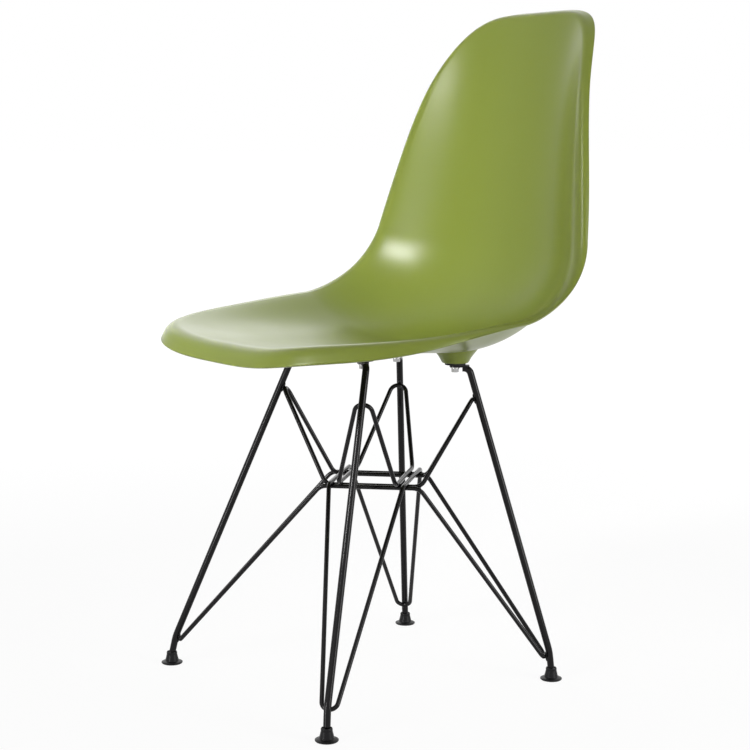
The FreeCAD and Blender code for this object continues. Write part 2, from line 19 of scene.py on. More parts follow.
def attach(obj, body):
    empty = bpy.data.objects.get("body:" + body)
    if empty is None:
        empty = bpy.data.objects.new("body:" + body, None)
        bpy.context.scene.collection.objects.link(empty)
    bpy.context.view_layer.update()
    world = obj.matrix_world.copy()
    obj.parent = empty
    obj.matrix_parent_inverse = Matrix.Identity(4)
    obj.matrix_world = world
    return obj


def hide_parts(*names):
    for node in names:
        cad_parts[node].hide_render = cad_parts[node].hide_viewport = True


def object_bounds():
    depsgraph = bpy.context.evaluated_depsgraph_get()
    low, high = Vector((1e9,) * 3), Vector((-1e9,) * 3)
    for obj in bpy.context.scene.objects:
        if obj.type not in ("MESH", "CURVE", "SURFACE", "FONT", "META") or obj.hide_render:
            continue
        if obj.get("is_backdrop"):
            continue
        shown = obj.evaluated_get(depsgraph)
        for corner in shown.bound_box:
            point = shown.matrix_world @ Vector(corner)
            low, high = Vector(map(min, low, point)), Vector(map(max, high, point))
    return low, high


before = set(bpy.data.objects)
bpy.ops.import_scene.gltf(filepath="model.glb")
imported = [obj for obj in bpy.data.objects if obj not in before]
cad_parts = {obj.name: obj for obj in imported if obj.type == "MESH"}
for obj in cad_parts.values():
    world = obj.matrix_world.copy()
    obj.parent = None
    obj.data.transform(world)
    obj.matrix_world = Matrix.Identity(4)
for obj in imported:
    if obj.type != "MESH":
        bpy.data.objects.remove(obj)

CAD_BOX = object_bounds()
print("solids", len(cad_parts), "box", [round(v, 4) for corner in CAD_BOX for v in corner])

# %% [markdown]
# ## The camera
#
# The photograph looks slightly down on the chair's left front corner, from
# about two metres. The lens is slid a little up and sideways, as on a studio
# camera, so the chair sits low in the picture. The camera itself isn't turned
# for that, which would change how the legs lean toward each other.

# %% Camera
CAMERA_AIM = Vector((0.0, -0.0301, 0.277))
CAMERA_DISTANCE = 2.1198
CAMERA_AROUND = math.radians(54.566)
CAMERA_ABOVE = math.radians(10.576)
CAMERA_LEAN = math.radians(0.2)
CAMERA_LENS = 81.917
CAMERA_SHIFT = (0.01326, 0.11218)


def toward(around, above):
    """A direction from the chair: around is zero in front and grows to the sitter's left."""
    return Vector((
        math.sin(around) * math.cos(above), -math.cos(around) * math.cos(above), math.sin(above)))


camera = bpy.data.objects.new("camera", bpy.data.cameras.new("camera"))
bpy.context.scene.collection.objects.link(camera)
camera.location = CAMERA_AIM + toward(CAMERA_AROUND, CAMERA_ABOVE) * CAMERA_DISTANCE
camera.rotation_mode = "QUATERNION"
looking = (CAMERA_AIM - camera.location).to_track_quat("-Z", "Y")
camera.rotation_quaternion = looking @ Quaternion((0, 0, 1), CAMERA_LEAN)
camera.data.lens = CAMERA_LENS
camera.data.shift_x, camera.data.shift_y = CAMERA_SHIFT
bpy.context.scene.camera = camera
print("camera at", [round(v, 3) for v in camera.location])

# %% [markdown]
# ## Writing finishes as sums
#
# A finish is a chain of shader nodes, and most of them are plain arithmetic.
# Wrapping a socket in a small class lets `1 - mask` or `noise * 0.1 + 0.3` add
# those nodes, so the script reads like the idea behind the finish. Every other
# node comes from one method, which takes the node's type, its settings and
# what goes into its sockets.

# %% Signals and finishes
NOISE_REACH = (0.3, 0.7)


class Signal:
    """A socket that can be used in sums."""

    def __init__(self, finish, socket):
        self.finish = finish
        self.socket = socket

    def sum(self, operation, first, second):
        return self.finish.node("Math", {"operation": operation}, {0: first, 1: second})

    def __add__(self, other):
        return self.sum("ADD", self, other)

    def __radd__(self, other):
        return self.sum("ADD", other, self)

    def __sub__(self, other):
        return self.sum("SUBTRACT", self, other)

    def __rsub__(self, other):
        return self.sum("SUBTRACT", other, self)

    def __mul__(self, other):
        return self.sum("MULTIPLY", self, other)

    def __rmul__(self, other):
        return self.sum("MULTIPLY", other, self)

    def at_least(self, other):
        return self.sum("MAXIMUM", self, other)


class Finish:
    """A node tree, for a material or for the sky, that grows one node at a time."""

    def __init__(self, owner):
        owner.use_nodes = True
        self.owner = owner
        self.tree = owner.node_tree

    def fill(self, socket, value):
        if isinstance(value, Signal):
            self.tree.links.new(value.socket, socket)
        else:
            socket.default_value = value

    def node(self, kind, settings=None, sockets=None, out=0):
        made = self.tree.nodes.new("ShaderNode" + kind)
        for name, value in (settings or {}).items():
            setattr(made, name, value)
        for name, value in (sockets or {}).items():
            self.fill(made.inputs[name], value)
        return Signal(self, made.outputs[out])

    def place(self, stretch=(1, 1, 1)):
        """Where a point is on the chair, in metres, stretched for a pattern."""
        spot = self.node("TexCoord", out="Object")
        return self.node("Mapping", {}, {"Vector": spot, "Scale": stretch})

    def noise(self, scale, detail, roughness=0.5, spot=None):
        """Cloudy noise with so many swells to the metre, near 0.5 in most places."""
        return self.node("TexNoise", {}, {
            "Vector": spot or self.place(),
            "Scale": scale, "Detail": detail, "Roughness": roughness})

    def between(self, factor, low, high):
        """A colour that goes from low to high."""
        # sockets 6 and 7 and output 2 are the ones that a Mix node has for colours
        return self.node("Mix", {"data_type": "RGBA"}, {0: factor, 6: low, 7: high}, out=2)

    def stretch(self, value, low, high, to_low=0.0, to_high=1.0):
        """A part of a signal's range, spread over another range and held inside it."""
        return self.node("MapRange", {}, {
            "Value": value, "From Min": low, "From Max": high, "To Min": to_low, "To Max": to_high})

    def wander(self, noise, low, high):
        """A noise spread over a range, which it reaches in its darkest and lightest places."""
        return self.stretch(noise, *NOISE_REACH, low, high)

    def reached_by(self, *kinds):
        """1 for rays of these kinds, such as Camera, and 0 for all others."""
        reached, *others = [self.node("LightPath", out="Is %s Ray" % kind) for kind in kinds]
        for other in others:
            reached = reached.at_least(other)
        return reached

    def surface(self, **sockets):
        """Fills the Principled shader. A name is the socket's, with underscores for spaces."""
        shader = self.tree.nodes["Principled BSDF"]
        for name, value in sockets.items():
            self.fill(shader.inputs[name.replace("_", " ")], value)

    def bumps(self, height, depth):
        """Small relief, depth metres high where the signal is 1."""
        return self.node(
            "Bump", {}, {"Height": height, "Distance": depth, "Strength": 1.0}, out="Normal")


def new_finish(name):
    return Finish(bpy.data.materials.new(name))


def colour(red, green, blue):
    return (red, green, blue, 1.0)


print("finishes are ready to be written")

# %% [markdown]
# ## The shell's finish
#
# The shell is polypropylene, coloured right through and moulded in a steel
# tool with a fine spark texture. The texture spreads each reflection, so the
# plastic looks satin and not glossy. Three things make it more than one flat
# green: the pigment mixes slightly unevenly over a hand's length, it holds faint
# specks a few millimetres wide, and the texture is a little more polished in
# some places. The relief is about a thousandth of a millimetre, and the grain
# is under half a millimetre wide.

# %% Olive plastic
SPECKLE_SHARE = 0.02

olive = new_finish("olive_plastic")
cloud = olive.noise(5.0, 3.0)
speckle = olive.noise(420.0, 2.0)
grain = olive.noise(2400.0, 2.0)
pigment = olive.between(cloud, colour(0.185, 0.230, 0.021), colour(0.196, 0.243, 0.025))
flecked = olive.between(speckle * SPECKLE_SHARE, pigment, colour(0.165, 0.222, 0.018))
olive.surface(
    Base_Color=flecked,
    Roughness=olive.wander(olive.noise(14.0, 3.0), 0.285, 0.32),
    Specular_IOR_Level=0.40,
    Normal=olive.bumps(grain, 0.0000012))
print("olive plastic:", len(olive.tree.nodes), "nodes")

# %% [markdown]
# ## The shell's middle line
#
# Seen from the side the shell is a line. It falls from the front edge, less and
# less steeply, into a seat that slopes slightly to the rear. One large bend
# follows, and then a back that leans away, most of all at its top. Drawing the
# line as tangent runs, each with a length and the slope at its two ends, keeps
# it free of kinks. The sizes are those of the workshop drawing, in metres and
# degrees.

# %% Side line
WALL = 0.0042
FRONT_DEPTH, FRONT_HEIGHT = -0.224, 0.4356
FRONT_SLOPE = -8.8
SEAT_SLOPE = -3.93
BACK_SLOPE = 82.37
TOP_SLOPE = 74.2
BEND_RADIUS = 0.1472
RUNS = [
    (0.0618, FRONT_SLOPE, SEAT_SLOPE),
    (0.1920, SEAT_SLOPE, SEAT_SLOPE),
    (BEND_RADIUS * math.radians(BACK_SLOPE - SEAT_SLOPE), SEAT_SLOPE, BACK_SLOPE),
    (0.1702, BACK_SLOPE, BACK_SLOPE),
    (0.1106, BACK_SLOPE, TOP_SLOPE),
]
SIDE_LENGTH = sum(run[0] for run in RUNS)


def side_line(along):
    """Depth, height and slope of the middle line at a length from the front."""
    depth = np.full(along.shape, FRONT_DEPTH)
    height = np.full(along.shape, FRONT_HEIGHT)
    slope = np.full(along.shape, math.radians(FRONT_SLOPE))
    left = along.copy()
    for index, (length, first, last) in enumerate(RUNS):
        start = math.radians(first)
        turn = (math.radians(last) - start) / length
        step = np.clip(left, 0, length if index < len(RUNS) - 1 else None)
        there = start + turn * step
        if turn:
            depth = depth + (np.sin(there) - math.sin(start)) / turn
            height = height + (math.cos(start) - np.cos(there)) / turn
        else:
            depth = depth + step * math.cos(start)
            height = height + step * math.sin(start)
        slope = np.where(left > 0, there, slope)
        left = left - step
    return depth, height, slope


print("the middle line is", round(SIDE_LENGTH, 4), "m long")

# %% [markdown]
# ## Width, dish and lip along the line
#
# Across the line the shell is dished: flat in the middle, steep near the side
# and level again at the crest. Three sizes change along it, the half width, the
# depth of the dish and the length of the rolled lip. Each is given at six
# even stations, and a smooth curve runs through them, as a draughtsman lays a
# spline over pins.

# %% Curves over the stations
def through_stations(values):
    """A smooth curve through evenly spaced values, as a function of the station.

    The slopes at the pins make the curve's bend continuous, and the slope at
    each end is that of the cubic through the four nearest pins.
    """
    pins = np.array(values)
    count = len(pins)
    system = np.eye(count)
    right = np.zeros(count)
    right[0] = np.dot((-11, 18, -9, 2), pins[:4]) / 6
    right[-1] = np.dot((11, -18, 9, -2), pins[:-5:-1]) / 6
    for row in range(1, count - 1):
        system[row, row - 1:row + 2] = (1, 4, 1)
        right[row] = 3 * (pins[row + 1] - pins[row - 1])
    slopes = np.linalg.solve(system, right)

    def curve(where):
        place = np.clip(where, 0, count - 1)
        pin = np.minimum(place.astype(int), count - 2)
        part = place - pin
        rest = 1 - part
        return ((1 + 2 * part) * rest ** 2 * pins[pin]
                + part * rest ** 2 * slopes[pin]
                + part ** 2 * (3 - 2 * part) * pins[pin + 1]
                - part ** 2 * rest * slopes[pin + 1])

    return curve


LAST_STATION = 5
half_width = through_stations([0.2062, 0.2275, 0.2230, 0.2024, 0.1680, 0.1590])
dish_depth = through_stations([0.0267, 0.0332, 0.0557, 0.0521, 0.0411, 0.0228])
lip_length = through_stations([0.0285, 0.0142, 0.0062, 0.0131, 0.0163, 0.0119])


def station(along):
    return LAST_STATION * along / SIDE_LENGTH


print("half width in the middle of the seat:", round(float(half_width(np.array([1.5]))[0]), 4))

# %% [markdown]
# ## From a square to the sheet
#
# The sheet starts as a square grid. One direction of the square runs along the
# middle line and the other across it. Rounding the square's corners first gives
# the shell its round corners without a kink, and the dish then lifts each point.
# A fine ridge runs along both sides, where the steep wall breaks over into the
# flange. It is 0.3 millimetres high, and it fades at both ends.

# %% Points of the sheet
DISH_POWER = 3.33
RIM_POWER = 10.1
FRONT_CORNER = 5.73
TOP_CORNER = 4.95
RIDGE_AT = 0.966
RIDGE_SPREAD = 0.014
RIDGE_HEIGHT = 0.0003
RIDGE_MIDDLE = 0.02
RIDGE_REACH = 0.93
RIDGE_FADE = 0.3
RIDGE_EDGE = 0.02
NUDGE = 0.001


def on_plan(u, w):
    """Length along the line and share of the half width, for a point of the square."""
    power = np.where(u < 0, FRONT_CORNER, TOP_CORNER)
    cut = 1 / (power + 1)
    along = SIDE_LENGTH / 2 * (1 + u * (1 - cut * np.abs(w) ** power))
    return along, w * (1 - cut * np.abs(u) ** power)


def sheet_point(along, across):
    depth, height, slope = side_line(along)
    share = np.abs(across)
    bowl = RIM_POWER * share ** DISH_POWER - DISH_POWER * share ** RIM_POWER
    rise = dish_depth(station(along)) * bowl / (RIM_POWER - DISH_POWER)
    return np.stack([
        across * half_width(station(along)),
        depth - rise * np.sin(slope),
        height + rise * np.cos(slope)], -1)


def unit(vectors):
    return vectors / np.linalg.norm(vectors, axis=-1, keepdims=True)


def sheet_normal(along, across):
    step = NUDGE * SIDE_LENGTH
    inner = np.clip(along, step, SIDE_LENGTH - step)
    run = sheet_point(inner + step, across) - sheet_point(inner - step, across)
    width = sheet_point(inner, across + NUDGE) - sheet_point(inner, across - NUDGE)
    return unit(np.cross(width, run))


def ridge(u, w):
    """How far the ridge lifts the sheet at a point of the square."""
    near = np.exp(-np.abs(np.abs(w) - RIDGE_AT) / RIDGE_SPREAD)
    fade = np.clip((RIDGE_REACH - np.abs(u - RIDGE_MIDDLE)) / RIDGE_FADE, 0, 1)
    edge = np.clip((1 - np.abs(w)) / RIDGE_EDGE, 0, 1)
    return RIDGE_HEIGHT * near * fade * edge


print("middle of the seat:", sheet_point(*on_plan(np.array([-0.4]), np.array([0.0]))).round(4)[0])

# %% [markdown]
# ## The rolled rim
#
# At its edge the shell turns outward and down, which stiffens it and hides the
# cut of the mould. From each point of the edge the roll follows an arc and then
# a straight lip. The front rolls over a large radius, so it doesn't press into
# the sitter's legs, and the sides roll over a small one. Between them the roll
# changes gradually round the corner. Beside the back the turn starts gently and
# tightens toward the lip. A turn of that kind has no simple formula, so a point
# of the rim is found by adding up short straight slices.

# %% Rim
# radius in metres and whole turn in degrees
ROLLS = {"side": (0.0086, 73.3), "front": (0.0193, 81.0), "top": (0.0091, 64.0)}
END_LIPS = {"front": 0.0357, "top": 0.0204}
ROLL_BLEND = 0.37
RIM_STEPS = 12
RIM_SLICES = 40
LATE_ROLL = 0.9
LATE_ROLL_RISE = 3


def edge_directions(u, w):
    """Outward and upward directions along the edge of the sheet."""
    inner_u = np.clip(u, NUDGE - 1, 1 - NUDGE)
    inner_w = np.clip(w, NUDGE - 1, 1 - NUDGE)
    by_side = sheet_point(*on_plan(inner_u + NUDGE, w)) - sheet_point(*on_plan(inner_u - NUDGE, w))
    by_end = sheet_point(*on_plan(u, inner_w + NUDGE)) - sheet_point(*on_plan(u, inner_w - NUDGE))
    edge = np.where((np.abs(w) == 1)[:, None], by_side, by_end)
    upward = sheet_normal(*on_plan(u, w))
    outward = unit(np.cross(edge, upward))
    from_middle = sheet_point(*on_plan(u, w)) - sheet_point(*on_plan(u / 2, w / 2))
    return outward * np.sign((outward * from_middle).sum(-1))[:, None], upward


def end_share(u, w):
    """How far the roll has changed from the side's to the end's, from 0 to 1."""
    step = np.clip(np.abs(u) - 1 + ROLL_BLEND, 0, None)
    step = step + np.where(np.abs(u) == 1, np.clip(1 - np.abs(w), None, ROLL_BLEND), 0)
    step = step / (2 * ROLL_BLEND)
    return step * step * (3 - 2 * step)


def rim_point(u, w, part):
    """A point of the rim at a part of its length, from the edge of the sheet to the lip."""
    outward, upward = edge_directions(u, w)
    share = end_share(u, w)

    def mixed(side, front, top):
        return (1 - share) * side + share * np.where(u < 0, front, top)

    radii, angles = zip(*ROLLS.values())
    angle = np.radians(mixed(*angles))[:, None]
    arc = mixed(*radii)[:, None] * angle
    side_lip = lip_length(station(on_plan(u, w)[0]))
    lip = mixed(side_lip, END_LIPS["front"], END_LIPS["top"])[:, None]
    late = 1 + LATE_ROLL * ((1 - share) * np.clip(LATE_ROLL_RISE * u, 0, 1))[:, None]
    one_slice = lip * part / RIM_SLICES
    place = sheet_point(*on_plan(u, w))
    for number in range(RIM_SLICES):
        turn = angle * np.minimum(one_slice * (number + 0.5) / arc, 1) ** late
        place = place + (outward * np.cos(turn) - upward * np.sin(turn)) * one_slice
    return place


print("the rim is laid in", RIM_STEPS, "steps")

# %% [markdown]
# ## Making the shell
#
# A grid gives the faces, and two layers on its points remember where each one
# sits on the square. The grid's lines lie closer together near the ends and
# most of all near the sides, so that the ridge falls on narrow rows. Extruding
# the open edge, step by step, makes the rim, and the layers travel with the new
# points. The Solidify modifier gives the wall its thickness on the lower side,
# and a Bevel rounds the two corners of the lip, as the mould's parting line is
# dressed.

# %% Shell
GRID_ROWS = 150
END_GATHER = 0.3
SIDE_GATHER = ((0, 0.66, 0.84, 1), (0, 0.91, 0.982, 1))
LIP_ROUND = 0.0011
LIP_SHARP = math.radians(50)
LIP_SEGMENTS = 3
MIDDLE_OF_SEAT = (0, -0.1)
OVER_THE_CHAIR = 1.0
DOWN = Vector((0, 0, -1))


def read_layers(points, layers):
    return [np.array([point[layer] for point in points]) for layer in layers]


def put(points, places):
    for point, place in zip(points, places):
        point.co = Vector(place)


def smooth(mesh_maker):
    for face in mesh_maker.faces:
        face.smooth = True


def finished_object(name, mesh_maker, finish):
    """An object on the chair's body, made from a bmesh."""
    mesh = bpy.data.meshes.new(name)
    mesh_maker.to_mesh(mesh)
    mesh_maker.free()
    mesh.materials.append(finish.owner)
    made = bpy.data.objects.new(name, mesh)
    bpy.context.scene.collection.objects.link(made)
    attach(made, "chair")
    return made


def shell_sheet():
    sheet = bmesh.new()
    bmesh.ops.create_grid(sheet, x_segments=GRID_ROWS, y_segments=GRID_ROWS, size=1)
    layers = [sheet.verts.layers.float.new(name) for name in ("along", "across")]
    for point in sheet.verts:
        gathered = math.sin(math.pi / 2 * point.co.y)
        point[layers[0]] = point.co.y * (1 - END_GATHER) + gathered * END_GATHER
        aside = float(np.interp(abs(point.co.x), *SIDE_GATHER))
        point[layers[1]] = math.copysign(aside, point.co.x)
    u, w = read_layers(sheet.verts, layers)
    places = on_plan(u, w)
    put(sheet.verts, sheet_point(*places) + sheet_normal(*places) * ridge(u, w)[:, None])
    return sheet, layers


def add_rim(sheet, layers):
    edges = [edge for edge in sheet.edges if edge.is_boundary]
    for step in range(1, RIM_STEPS + 1):
        new = bmesh.ops.extrude_edge_only(sheet, edges=edges)["geom"]
        points = [item for item in new if isinstance(item, bmesh.types.BMVert)]
        edges = [item for item in new if isinstance(item, bmesh.types.BMEdge) and item.is_boundary]
        # the layers are single precision, and the square's edge has to be exactly 1
        u, w = [np.round(values, 6) for values in read_layers(points, layers)]
        put(points, rim_point(u, w, step / RIM_STEPS))


sheet, layers = shell_sheet()
add_rim(sheet, layers)
bmesh.ops.recalc_face_normals(sheet, faces=sheet.faces)
sheet.normal_update()
seat_tree = BVHTree.FromBMesh(sheet)
seat_place, seat_normal, _, _ = seat_tree.ray_cast(
    Vector((*MIDDLE_OF_SEAT, OVER_THE_CHAIR)), DOWN)
if seat_normal.z < 0:
    bmesh.ops.reverse_faces(sheet, faces=sheet.faces)
smooth(sheet)
print("sheet of", len(sheet.faces), "faces; the seat is", round(seat_place.z, 4), "m high")
shell = finished_object("shell", sheet, olive)
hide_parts("seat_shell")
wall = shell.modifiers.new("wall", "SOLIDIFY")
wall.thickness = WALL
wall.offset = -1
lip_edge = shell.modifiers.new("lip edge", "BEVEL")
lip_edge.width = LIP_ROUND
lip_edge.segments = LIP_SEGMENTS
lip_edge.limit_method = "ANGLE"
lip_edge.angle_limit = LIP_SHARP
lip_edge.use_clamp_overlap = False

# %% [markdown]
# ## The bosses under the seat
#
# Four round bosses carry the bolts. They are moulded with the shell and widen
# upward, so they leave the mould freely and spread the load. Each one is turned
# from half its outline, like a pot on a wheel. Its top would stand above the
# seat, so each point that is too high is lowered to just below the middle of
# the wall, where it can't be seen from either side.

# %% Bosses
# half of the bolts' span, their depth and the height of the boss's face
BOLTS = {
    "front": (0.0608, -0.0769, 0.4123),
    "rear": (0.0608, 0.0624, 0.3978),
}
BOSS_FACE = 0.0165
BORE_RADIUS, BORE_DEPTH = 0.005, 0.009
BORE_CHAMFER = 0.0004
FACE_CORNER = 0.0009
DRAFT, FLARE = math.radians(22), math.radians(38)
FLARE_RADIUS = 0.040
BOSS_HEIGHT = 0.042
FACE_SHARES = (0.6, 0.85)
CORNER_POINTS, FLARE_POINTS, CONE_POINTS = 5, 9, 31
TOP_SHARES = (0.85, 0.7, 0.55, 0.4, 0.25, 0.12, 0)
TURNS = 72
SAME_PLACE = 1e-6
INTO_WALL = 0.55
ABOVE_BORE = 0.0001
UP = Vector((0, 0, 1))


def boss_outline():
    """Half of a boss from its bore to its axis, as radius and height over its face."""
    outline = [
        (0, BORE_DEPTH), (BORE_RADIUS, BORE_DEPTH), (BORE_RADIUS, BORE_CHAMFER),
        (BORE_RADIUS + BORE_CHAMFER, 0)]
    outline += [(BOSS_FACE * share, 0) for share in FACE_SHARES]
    for turn in np.linspace(0, math.pi / 2 - DRAFT, CORNER_POINTS):
        outline.append((
            BOSS_FACE - FACE_CORNER * (1 - math.sin(turn)), FACE_CORNER * (1 - math.cos(turn))))
    for turn in np.linspace(DRAFT, FLARE, FLARE_POINTS)[1:]:
        outline.append((
            BOSS_FACE + FLARE_RADIUS * (math.cos(DRAFT) - math.cos(turn)),
            FLARE_RADIUS * (math.sin(turn) - math.sin(DRAFT))))
    out, up = outline[-1]
    for rise in np.linspace(0, BOSS_HEIGHT - up, CONE_POINTS)[1:]:
        outline.append((out + rise * math.tan(FLARE), up + rise))
    widest = outline[-1][0]
    return outline + [(widest * share, BOSS_HEIGHT) for share in TOP_SHARES]


def turned(outline, steps):
    """A closed round piece from half of its outline, about the upright axis."""
    pot = bmesh.new()
    points = [pot.verts.new((radius, 0, height)) for radius, height in outline]
    edges = [pot.edges.new(pair) for pair in zip(points, points[1:])]
    bmesh.ops.spin(
        pot, geom=points + edges, cent=(0, 0, 0), axis=UP, angle=2 * math.pi, steps=steps,
        use_merge=True)
    bmesh.ops.remove_doubles(pot, verts=pot.verts, dist=SAME_PLACE)
    bmesh.ops.recalc_face_normals(pot, faces=pot.faces)
    return pot


for end, (half_span, depth, height) in BOLTS.items():
    for side, sign in (("left", 1), ("right", -1)):
        pot = turned(boss_outline(), TURNS)
        bmesh.ops.translate(pot, vec=(sign * half_span, depth, height), verts=pot.verts)
        for point in pot.verts:
            if point.co.z > height + BORE_DEPTH + ABOVE_BORE:
                start = Vector((point.co.x, point.co.y, OVER_THE_CHAIR))
                seat_place = seat_tree.ray_cast(start, DOWN)[0]
                point.co.z = min(point.co.z, seat_place.z - WALL * INTO_WALL)
        smooth(pot)
        made = finished_object("boss_%s_%s" % (end, side), pot, olive)
        print(made.name, len(made.data.polygons), "faces")

# %% [markdown]
# ## Black wire
#
# The rods and loops are steel wire under a black powder coat. The coat melts in
# the oven and keeps a very faint ripple, like orange peel. It is the same on
# every rod, so one finish serves them all and is put into the slots of the
# solids that came with the frame.

# %% Powder coat
coat = new_finish("black_powder_coat")
peel = coat.noise(900.0, 2.0)
drift = coat.noise(18.0, 3.0)
coat.surface(
    Base_Color=coat.between(drift, colour(0.004, 0.0035, 0.004), colour(0.006, 0.005, 0.006)),
    Roughness=coat.wander(drift, 0.11, 0.16),
    Specular_IOR_Level=0.2,
    Normal=coat.bumps(peel, 0.0000015))


def paint(finish, *starts):
    """Puts a finish on every solid whose name starts with one of the words."""
    named = [node for name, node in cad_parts.items() if name.startswith(starts)]
    for node in named:
        for slot in node.material_slots:
            slot.material = finish.owner
    print(finish.owner.name, "on", len(named), "solids")


paint(coat, "leg_", "upper_brace", "lower_brace")

# %% [markdown]
# ## Zinc, brass, rubber and nylon
#
# The bolts and washers are steel with a bright zinc plate, which is a metal with
# fine cloudy crystals and a hint of blue and straw. The bushes in the bosses are
# turned brass, so their tool marks run round them. The pads between the rods and
# the shell are black rubber with a chalky bloom. The feet are black nylon, and
# their lowest edge is scuffed grey by the floor.

# %% Small parts' finishes
SCUFF_TOP, SCUFF_BOTTOM = 0.0012, 0.0001

zinc = new_finish("bright_zinc")
crystals = zinc.node("TexVoronoi", {}, {"Vector": zinc.place(), "Scale": 900.0})
haze = zinc.noise(160.0, 3.0)
zinc.surface(
    Base_Color=zinc.between(haze, colour(0.36, 0.37, 0.39), colour(0.46, 0.45, 0.42)),
    Metallic=1.0,
    Roughness=zinc.wander(haze, 0.22, 0.38),
    Normal=zinc.bumps(crystals, 0.00001))
paint(zinc, "bolt_", "flat_washer", "spring_washer")

brass = new_finish("turned_brass")
rings = brass.node("TexWave", {"bands_direction": "Z"}, {
    "Vector": brass.place(), "Scale": 1200.0, "Distortion": 1.5})
tarnish = brass.noise(300.0, 3.0)
brass.surface(
    Base_Color=brass.between(tarnish, colour(0.66, 0.47, 0.18), colour(0.50, 0.33, 0.11)),
    Metallic=1.0,
    Roughness=brass.wander(tarnish, 0.25, 0.42),
    Normal=brass.bumps(rings, 0.00001))
paint(brass, "threaded_insert")

rubber = new_finish("black_rubber")
bloom = rubber.noise(120.0, 4.0)
chalk = rubber.stretch(bloom, 0.45, 0.75)
rubber.surface(
    Base_Color=rubber.between(chalk, colour(0.012, 0.012, 0.012), colour(0.032, 0.031, 0.030)),
    Roughness=rubber.wander(bloom, 0.62, 0.8),
    Specular_IOR_Level=0.25,
    Normal=rubber.bumps(rubber.noise(2600.0, 2.0), 0.00002))
paint(rubber, "spacer_pad")

nylon = new_finish("black_nylon")
height_over_floor = nylon.node("SeparateXYZ", {}, {"Vector": nylon.place()}, out="Z")
scratches = nylon.noise(700.0, 3.0, 0.6, nylon.place((1, 1, 0.15)))
near_floor = nylon.stretch(height_over_floor, SCUFF_TOP, SCUFF_BOTTOM)
scuff = near_floor * nylon.stretch(scratches, 0.4, 0.65)
nylon.surface(
    Base_Color=nylon.between(scuff, colour(0.010, 0.010, 0.011), colour(0.085, 0.083, 0.080)),
    Roughness=nylon.wander(scratches, 0.30, 0.42) + scuff * 0.3,
    Specular_IOR_Level=0.16,
    Normal=nylon.bumps(scratches, 0.00002))
paint(nylon, "glide_")

# %% [markdown]
# ## Welds
#
# The loops are tied to the rods by short weld beads, and to each other by small
# ones at the hub. The workshop solids only touch or nearly touch there, so the
# beads are added here, under the same black coat. The places are measured from
# the solids: the corner of a loop's mesh that is nearest to the rod is where
# the welder puts the bead. Long straight wires have few such corners, so at the
# hub only two of the four pairs of loops that touch get a bead. A bead is a
# drawn-out ball with shallow ripples across it, one for each drop of metal.

# %% Where the wires touch
WELD_REACH = 0.0009
LEG_WELDS_APART, HUB_WELDS_APART = 0.03, 0.008
BRACES = ("upper_brace_over", "upper_brace_under", "lower_brace_over", "lower_brace_under")


def tree_of(node):
    mesh = node.data
    return BVHTree.FromPolygons(
        [point.co for point in mesh.vertices], [face.vertices for face in mesh.polygons])


def touching(node, tree, apart):
    """Places where a solid's corners come within reach of another, with its normals there."""
    near = []
    for point in node.data.vertices:
        place, normal, _, distance = tree.find_nearest(point.co, WELD_REACH)
        if place is not None:
            near.append((distance, (point.co + place) / 2, normal))
    near.sort(key=lambda item: item[0])
    found = []
    for _, place, normal in near:
        if all((place - other).length > apart for other, _ in found):
            found.append((place, normal))
    return found


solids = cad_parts
leg_welds = []
for brace_name in BRACES:
    for leg_name in sorted(name for name in solids if name.startswith("leg_")):
        leg_welds += touching(solids[brace_name], tree_of(solids[leg_name]), LEG_WELDS_APART)
hub_welds = []
for over in BRACES[::2]:
    for under in BRACES[1::2]:
        hub_welds += touching(solids[over], tree_of(solids[under]), HUB_WELDS_APART)
print(len(leg_welds), "welds on the legs,", len(hub_welds), "at the hub")

# %% Weld beads
# length, width and thickness in metres, and how many ripples
LEG_BEAD = (0.013, 0.0052, 0.0032, 7)
HUB_BEAD = (0.0042, 0.0042, 0.0024, 2)
RIPPLE_SHARE = 0.07
BEAD_SEGMENTS = (20, 28)


def bead(place, normal, length, width, thickness, ripples):
    """A rippled bead against the surface it is welded to, as upright as that surface is."""
    ball = bmesh.new()
    around, along = BEAD_SEGMENTS
    bmesh.ops.create_uvsphere(ball, u_segments=around, v_segments=along, radius=1)
    for point in ball.verts:
        x, y, z = point.co
        swell = 1 + RIPPLE_SHARE * math.cos(ripples * math.pi * z) * (1 - z ** 2)
        point.co = Vector((x * swell * width / 2, y * swell * thickness / 2, z * length / 2))
    upright = (UP - normal * UP.dot(normal)).normalized()
    across = normal.cross(upright).normalized()
    turn = Matrix((across, normal, upright)).transposed().to_4x4()
    bmesh.ops.transform(ball, matrix=Matrix.Translation(place) @ turn, verts=ball.verts)
    smooth(ball)
    return ball


def weld_group(name, welds, size):
    group = bmesh.new()
    for place, normal in welds:
        one = bead(place, normal, *size)
        scratch = bpy.data.meshes.new("bead")
        one.to_mesh(scratch)
        one.free()
        group.from_mesh(scratch)
        bpy.data.meshes.remove(scratch)
    bmesh.ops.recalc_face_normals(group, faces=group.faces)
    return finished_object(name, group, coat)


weld_group("leg_welds", leg_welds, LEG_BEAD)
weld_group("hub_welds", hub_welds, HUB_BEAD)

# %% [markdown]
# ## Floor, sky and lamps
#
# The photograph looks as if it was taken in a white cove, so the floor and what
# lies behind the chair are plain white, and only a trace of shadow shows. The
# sky is white to the camera and to reflections, which gives the grazing sheen
# on the plastic, and dimmer to everything else, so the green keeps its shape.
# Six soft boxes light the chair. The tall one in front has a narrow beam and
# draws the highlight low on the back and the band above it, and a small one
# stands under it. A broad one gives even light. Two stand on the far side, for
# the sheen on the seat's front and on the back's edge, and one stands on the
# camera's side, for the line along the rim.

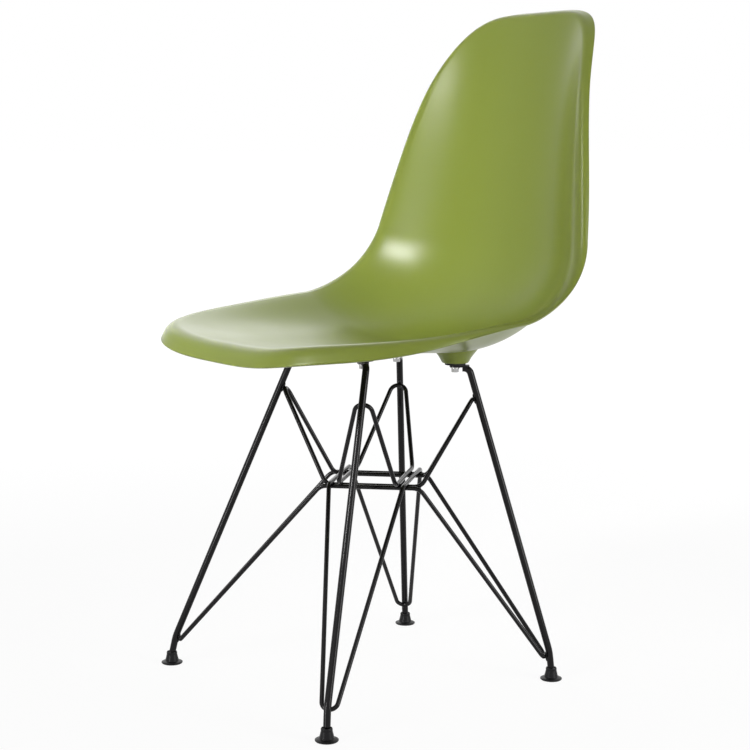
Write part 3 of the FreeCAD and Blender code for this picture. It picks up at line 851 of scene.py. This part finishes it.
# %% Floor
FLOOR_HALF = 80
FLOOR_DROP = 0.0004
FLOOR_GLOW = 1.05
SHADOW_RADIUS, CLEAR_RADIUS = 0.8, 3.0
GLOW_BY_CHAIR = 0.88

floor_maker = bmesh.new()
bmesh.ops.create_grid(floor_maker, x_segments=1, y_segments=1, size=FLOOR_HALF)
floor_mesh = bpy.data.meshes.new("floor")
floor_maker.to_mesh(floor_mesh)
floor_maker.free()
floor = bpy.data.objects.new("floor", floor_mesh)
floor.location.z = -FLOOR_DROP
bpy.context.scene.collection.objects.link(floor)
floor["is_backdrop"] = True

white_floor = new_finish("white_floor")
white_floor.surface(Base_Color=colour(0.86, 0.86, 0.86), Roughness=0.9, Specular_IOR_Level=0.1)
seen = white_floor.reached_by("Camera", "Glossy")
glow = white_floor.node("Emission", {}, {"Color": colour(1, 1, 1), "Strength": FLOOR_GLOW})
painted = Signal(white_floor, white_floor.tree.nodes["Principled BSDF"].outputs[0])
# near the chair some of the painted floor shows, and with it the chair's shadow
away = white_floor.node(
    "VectorMath", {"operation": "LENGTH"}, {0: white_floor.place()}, out="Value")
share = white_floor.stretch(away, SHADOW_RADIUS, CLEAR_RADIUS, GLOW_BY_CHAIR, 1.0)
mixed = white_floor.node("MixShader", {}, {0: seen * share, 1: painted, 2: glow})
white_floor.fill(white_floor.tree.nodes["Material Output"].inputs["Surface"], mixed)
floor_mesh.materials.append(white_floor.owner)
print("floor", 2 * FLOOR_HALF, "m wide")

# %% Sky
SKY_LIGHT, SKY_SEEN = 0.16, 1.0

bpy.context.scene.world = bpy.data.worlds.new("studio")
sky = Finish(bpy.context.scene.world)
seen = sky.reached_by("Camera", "Glossy", "Transmission")
backdrop = sky.tree.nodes["Background"]
sky.fill(backdrop.inputs["Color"], colour(1, 1, 1))
sky.fill(backdrop.inputs["Strength"], sky.stretch(seen, 0, 1, SKY_LIGHT, SKY_SEEN))
print("sky", SKY_SEEN, "to the camera and", SKY_LIGHT, "as light")

# %% Lamps
CHAIR_MIDDLE = (-0.02, 0.06, 0.50)
LOW_ON_BACK = (-0.16, 0.15, 0.53)

# name, spot it faces, around and above in degrees, distance, width and height in
# metres, power in watts, and spread of the beam in degrees
SOFT_BOXES = [
    ("front box", LOW_ON_BACK, 10.5, 27, 2.0, 0.46, 0.85, 1.35, 26),
    ("front reflector", (-0.15, 0.16, 0.60), 10.5, -8, 2.0, 0.26, 0.5, 7, 180),
    ("broad box", (-0.05, 0.05, 0.55), 22, 34, 2.6, 2.4, 2.0, 8, 180),
    ("far box behind", CHAIR_MIDDLE, -142, 30, 2.2, 2.4, 1.6, 5, 180),
    ("far box", CHAIR_MIDDLE, -105, 16, 2.0, 1.4, 1.2, 5, 180),
    ("near box", CHAIR_MIDDLE, 112, 8, 2.2, 0.8, 1.2, 22, 180),
]


def soft_box(name, spot, around, above, distance, width, height, power, spread):
    """A rectangular lamp seen from a spot on the chair, turned to face it."""
    lamp = bpy.data.lights.new(name, "AREA")
    lamp.shape = "RECTANGLE"
    lamp.size = width
    lamp.size_y = height
    lamp.energy = power
    lamp.spread = math.radians(spread)
    made = bpy.data.objects.new(name, lamp)
    bpy.context.scene.collection.objects.link(made)
    away = toward(math.radians(around), math.radians(above))
    made.location = Vector(spot) + away * distance
    made.rotation_mode = "QUATERNION"
    made.rotation_quaternion = away.to_track_quat("Z", "Y")


for row in SOFT_BOXES:
    soft_box(*row)
print(len(SOFT_BOXES), "soft boxes")

bpy.context.scene.view_settings.view_transform = "Standard"

# %% [markdown]
# ## Measuring the result
#
# Looks mustn't change the chair's size. So the size of the finished model's box is printed beside that of
# the workshop solids, where the two can be compared.

# %% Measure and finish
bpy.context.view_layer.update()
SIZES = {"cad": [list(corner) for corner in CAD_BOX], "visual": [list(corner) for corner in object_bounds()]}
for name, (low, high) in SIZES.items():
    print(name, "box", [round(b - a, 4) for a, b in zip(low, high)])
